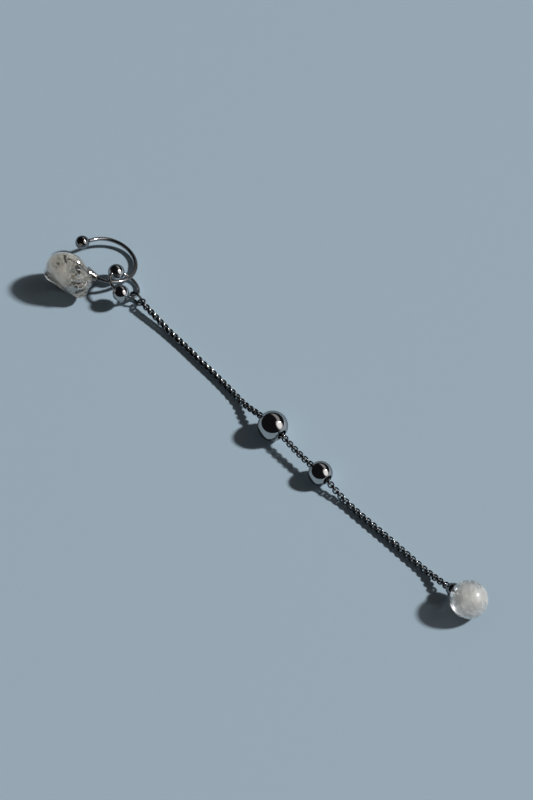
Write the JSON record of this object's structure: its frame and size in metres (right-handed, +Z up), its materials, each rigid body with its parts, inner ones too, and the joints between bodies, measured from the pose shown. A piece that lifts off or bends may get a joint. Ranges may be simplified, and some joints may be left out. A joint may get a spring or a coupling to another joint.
{
  "type": "chain ear cuff",
  "caption": "Ear cuff of polished wire: an open hoop with a crystal nugget and a ball, a ball ring, and a fine box chain with sliding beads that ends in a quartz ball.",
  "frame": {"origin": "middle of the bounding box at the surface it lies on", "axes": "+X along the chain from the hoop to the quartz ball, +Z up"},
  "size_m": [0.128, 0.0201, 0.0102],
  "materials": {
    "polished_silver": "polished",
    "nugget_crystal": "tumbled, cloudy with clear folds",
    "quartz": "polished, cloudy inside with a clear rim"
  },
  "bodies": {
    "root": {"cuff": "polished_silver", "nugget": "nugget_crystal", "ball_ring": "polished_silver", "jump_ring": "polished_silver", "end_ring": "polished_silver", "chain": "polished_silver", "bead_large": "polished_silver", "bead_small": "polished_silver", "end_cap": "polished_silver", "quartz_ball": "quartz"}
  },
  "joints": []
}
